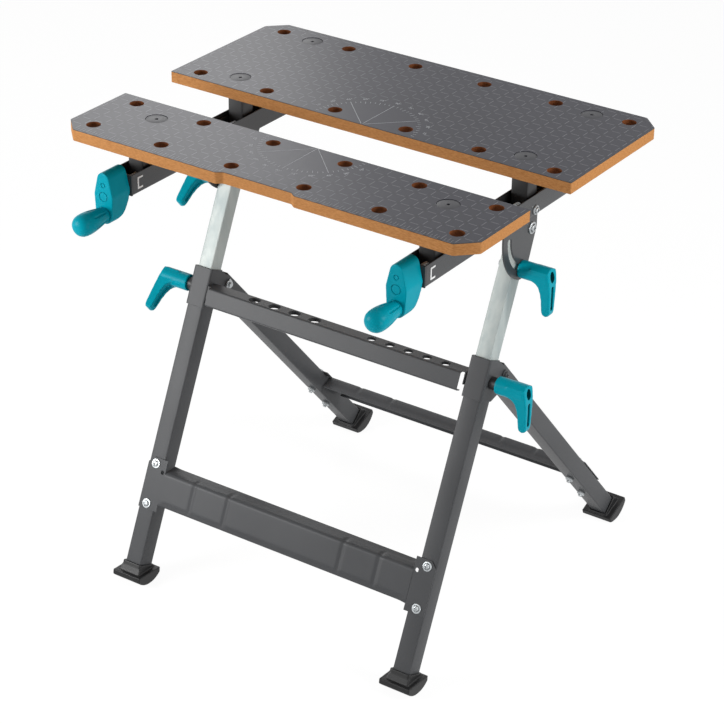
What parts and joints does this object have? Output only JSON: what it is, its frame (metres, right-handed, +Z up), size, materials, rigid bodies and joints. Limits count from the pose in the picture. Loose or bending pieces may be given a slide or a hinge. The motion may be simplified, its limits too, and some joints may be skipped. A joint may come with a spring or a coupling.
{
  "type": "folding workbench",
  "caption": "Folding workbench with a two-part vice table that tilts and adjusts in height, driven by hand cranks, on telescopic front legs and a folding rear leg frame.",
  "frame": {"origin": "centre of the footprint on the floor, at rest", "axes": "+X to the right along the jaws as the user sees them, +Y away from the user, +Z up"},
  "size_m": [0.65, 0.6766, 0.697],
  "materials": {
    "board": "dark laminate on fibreboard",
    "painted_steel": "powder-coated",
    "galvanised_steel": "galvanised",
    "zinc_steel": "zinc-plated",
    "teal_plastic": "moulded, satin",
    "black_plastic": "moulded, matt"
  },
  "bodies": {
    "front_frame": {"front_leg_L": "painted_steel", "front_leg_R": "painted_steel", "collar_L": "painted_steel", "collar_R": "painted_steel", "front_foot_L": "black_plastic", "front_foot_R": "black_plastic", "height_clamp_bolt_L": "zinc_steel", "height_clamp_bolt_R": "zinc_steel", "height_spacer_L": "black_plastic", "height_spacer_R": "black_plastic", "rear_pivot_bolt_L": "zinc_steel", "rear_pivot_bolt_R": "zinc_steel", "crossbar": "painted_steel", "front_stretcher": "painted_steel"},
    "rear_frame": {"rear_leg_L": "painted_steel", "rear_leg_R": "painted_steel", "rear_foot_L": "black_plastic", "rear_foot_R": "black_plastic", "rear_stretcher": "painted_steel"},
    "inner_tubes": {"inner_tube_L": "galvanised_steel", "inner_tube_R": "galvanised_steel", "tilt_pivot_bolt_L": "zinc_steel", "tilt_pivot_bolt_R": "zinc_steel", "tilt_clamp_bolt_L": "zinc_steel", "tilt_clamp_bolt_R": "zinc_steel"},
    "table": {"rear_jaw_board": "board", "beam_L": "painted_steel", "beam_R": "painted_steel", "tilt_plate_L": "painted_steel", "tilt_plate_R": "painted_steel", "plate_screw_L": "zinc_steel", "plate_screw_R": "zinc_steel", "front_bearing_L": "painted_steel", "front_bearing_R": "painted_steel", "rear_jaw_post_front_L": "black_plastic", "rear_jaw_post_front_R": "black_plastic", "rear_jaw_post_rear_L": "black_plastic", "rear_jaw_post_rear_R": "black_plastic", "rear_jaw_screw_front_L": "zinc_steel", "rear_jaw_screw_front_R": "zinc_steel", "rear_jaw_screw_rear_L": "zinc_steel", "rear_jaw_screw_rear_R": "zinc_steel"},
    "front_jaw": {"front_jaw_board": "board", "spindle_nut_L": "black_plastic", "spindle_nut_R": "black_plastic", "front_jaw_screw_L": "zinc_steel", "front_jaw_screw_R": "zinc_steel"},
    "crank_left": {"spindle_L": "zinc_steel", "crank_arm_L": "teal_plastic", "knob_pin_L": "zinc_steel"},
    "knob_left": {"crank_knob_L": "teal_plastic"},
    "tilt_lever_left": {"tilt_lever_L": "teal_plastic"},
    "height_lever_left": {"height_lever_L": "teal_plastic"},
    "crank_right": {"spindle_R": "zinc_steel", "crank_arm_R": "teal_plastic", "knob_pin_R": "zinc_steel"},
    "knob_right": {"crank_knob_R": "teal_plastic"},
    "tilt_lever_right": {"tilt_lever_R": "teal_plastic"},
    "height_lever_right": {"height_lever_R": "teal_plastic"}
  },
  "joints": [
    {"name": "rear_fold", "type": "hinge", "parent": "front_frame", "child": "rear_frame", "pos_m": [0, -0.03397, 0.40004], "axis": [-1, 0, 0], "range_deg": [0, 63]},
    {"name": "height", "type": "slide", "parent": "front_frame", "child": "inner_tubes", "axis": [0, 0.4035, 0.915], "range_m": [-0.075, 0.11]},
    {"name": "tilt", "type": "hinge", "parent": "inner_tubes", "child": "table", "pos_m": [0, 0.01912, 0.59849], "axis": [1, 0, 0], "range_deg": [0, 58]},
    {"name": "jaw_slide", "type": "slide", "parent": "table", "child": "front_jaw", "axis": [0, 1, 0], "range_m": [-0.0125, 0.1]},
    {"name": "crank_turn_left", "type": "hinge", "parent": "table", "child": "crank_left", "pos_m": [-0.233, -0.25, 0.6305], "axis": [0, 1, 0], "range_deg": [-1135, 9010]},
    {"name": "knob_spin_left", "type": "hinge", "parent": "crank_left", "child": "knob_left", "pos_m": [-0.233, -0.31, 0.5985], "axis": [0, 1, 0], "continuous": true},
    {"name": "tilt_lever_turn_left", "type": "hinge", "parent": "inner_tubes", "child": "tilt_lever_left", "pos_m": [-0.27, -0.00347, 0.54725], "axis": [1, 0, 0], "range_deg": [-10, 110]},
    {"name": "height_lever_turn_left", "type": "hinge", "parent": "front_frame", "child": "height_lever_left", "pos_m": [-0.28, -0.06723, 0.40269], "axis": [1, 0, 0], "range_deg": [-10, 110]},
    {"name": "crank_turn_right", "type": "hinge", "parent": "table", "child": "crank_right", "pos_m": [0.233, -0.25, 0.6305], "axis": [0, 1, 0], "range_deg": [-1135, 9010]},
    {"name": "knob_spin_right", "type": "hinge", "parent": "crank_right", "child": "knob_right", "pos_m": [0.233, -0.31, 0.5985], "axis": [0, 1, 0], "continuous": true},
    {"name": "tilt_lever_turn_right", "type": "hinge", "parent": "inner_tubes", "child": "tilt_lever_right", "pos_m": [0.27, -0.00347, 0.54725], "axis": [1, 0, 0], "range_deg": [-60, 60]},
    {"name": "height_lever_turn_right", "type": "hinge", "parent": "front_frame", "child": "height_lever_right", "pos_m": [0.28, -0.06723, 0.40269], "axis": [1, 0, 0], "range_deg": [-60, 60]}
  ],
  "couplings": [
    {"joint": "crank_turn_right", "follows": "jaw_slide", "rad_per_m": 1570.8},
    {"joint": "crank_turn_left", "follows": "jaw_slide", "rad_per_m": 1570.8}
  ]
}
